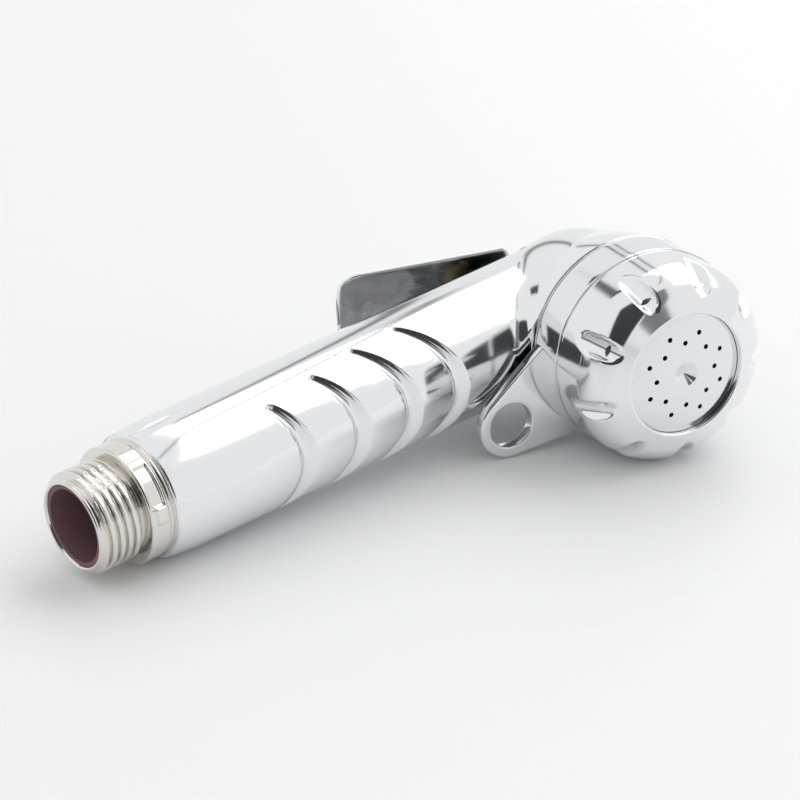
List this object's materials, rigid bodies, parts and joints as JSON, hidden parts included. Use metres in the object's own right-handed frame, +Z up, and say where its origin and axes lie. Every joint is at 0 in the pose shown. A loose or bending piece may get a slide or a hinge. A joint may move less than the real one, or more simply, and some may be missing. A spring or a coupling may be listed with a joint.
{
  "type": "handheld bath sprayer",
  "caption": "Handheld bath sprayer with a threaded hose inlet, ribbed handle, thumb lever valve, hanging tab and a fluted nozzle ring round a perforated spray plate.",
  "frame": {"origin": "centre of the base of the bounding box, the sprayer lying on its side", "axes": "+X the spray direction, +Y from the hose inlet towards the crown of the head, +Z up"},
  "size_m": [0.0656, 0.1572, 0.0451],
  "materials": {
    "plated_shell": "bright chrome plating on moulded plastic",
    "plated_ring": "bright chrome plating on moulded plastic",
    "spray_face": "slightly satin chrome plating",
    "plated_lever": "bright chrome plating on moulded plastic",
    "plated_hanger": "bright chrome plating on moulded plastic",
    "nickel_thread": "worn nickel plating on cast brass",
    "liner_brown": "dark red-brown moulded plastic",
    "inner_white": "natural white moulded plastic",
    "inner_grey": "grey moulded plastic",
    "seal_rubber": "black rubber",
    "steel": "drawn stainless steel",
    "valve_brass": "machined brass"
  },
  "bodies": {
    "handle": {"inlet_nipple": "nickel_thread", "inlet_liner": "liner_brown", "inlet_filter": "steel", "nipple_o_ring": "seal_rubber", "water_tube": "inner_white", "tube_o_ring": "seal_rubber", "valve_body": "inner_grey", "valve_plug": "inner_grey", "gland_nut": "valve_brass", "stem_o_ring": "seal_rubber", "return_spring": "steel", "lever_pin": "steel", "body_shell": "plated_shell", "outlet_elbow": "inner_white", "flow_disc": "inner_white", "flow_cup": "inner_white", "head_o_ring": "seal_rubber", "snap_ring": "steel", "swivel_washer": "inner_grey"},
    "lever": {"thumb_lever": "plated_lever"},
    "stem": {"valve_stem": "valve_brass", "valve_disc": "seal_rubber"},
    "nozzle": {"nozzle_ring": "plated_ring", "spray_plate": "spray_face", "plate_gasket": "seal_rubber"},
    "hanger": {"hanger_ring": "plated_hanger"}
  },
  "joints": [
    {"name": "lever_press", "type": "hinge", "parent": "handle", "child": "lever", "pos_m": [-0.02412, 0.05264, 0.02238], "axis": [0, -0.0802, 0.9968], "range_deg": [0, 10], "stiffness_Nm_per_rad": 0.9, "springref_deg": -6.88},
    {"name": "stem_slide", "type": "slide", "parent": "handle", "child": "stem", "axis": [0.9617, 0.2731, 0.022], "range_m": [0, 0.00273], "deforming": ["return_spring"]},
    {"name": "nozzle_turn", "type": "hinge", "parent": "handle", "child": "nozzle", "pos_m": [0.03244, 0.05622, 0.02267], "axis": [1, 0, 0], "range_deg": [0, 90]},
    {"name": "hanger_swivel", "type": "hinge", "parent": "handle", "child": "hanger", "pos_m": [0.01244, 0.05622, 0.02267], "axis": [1, 0, 0], "range_deg": [0, 316]}
  ],
  "couplings": [
    {"joint": "stem_slide", "follows": "lever_press", "m_per_rad": 0.015642}
  ]
}
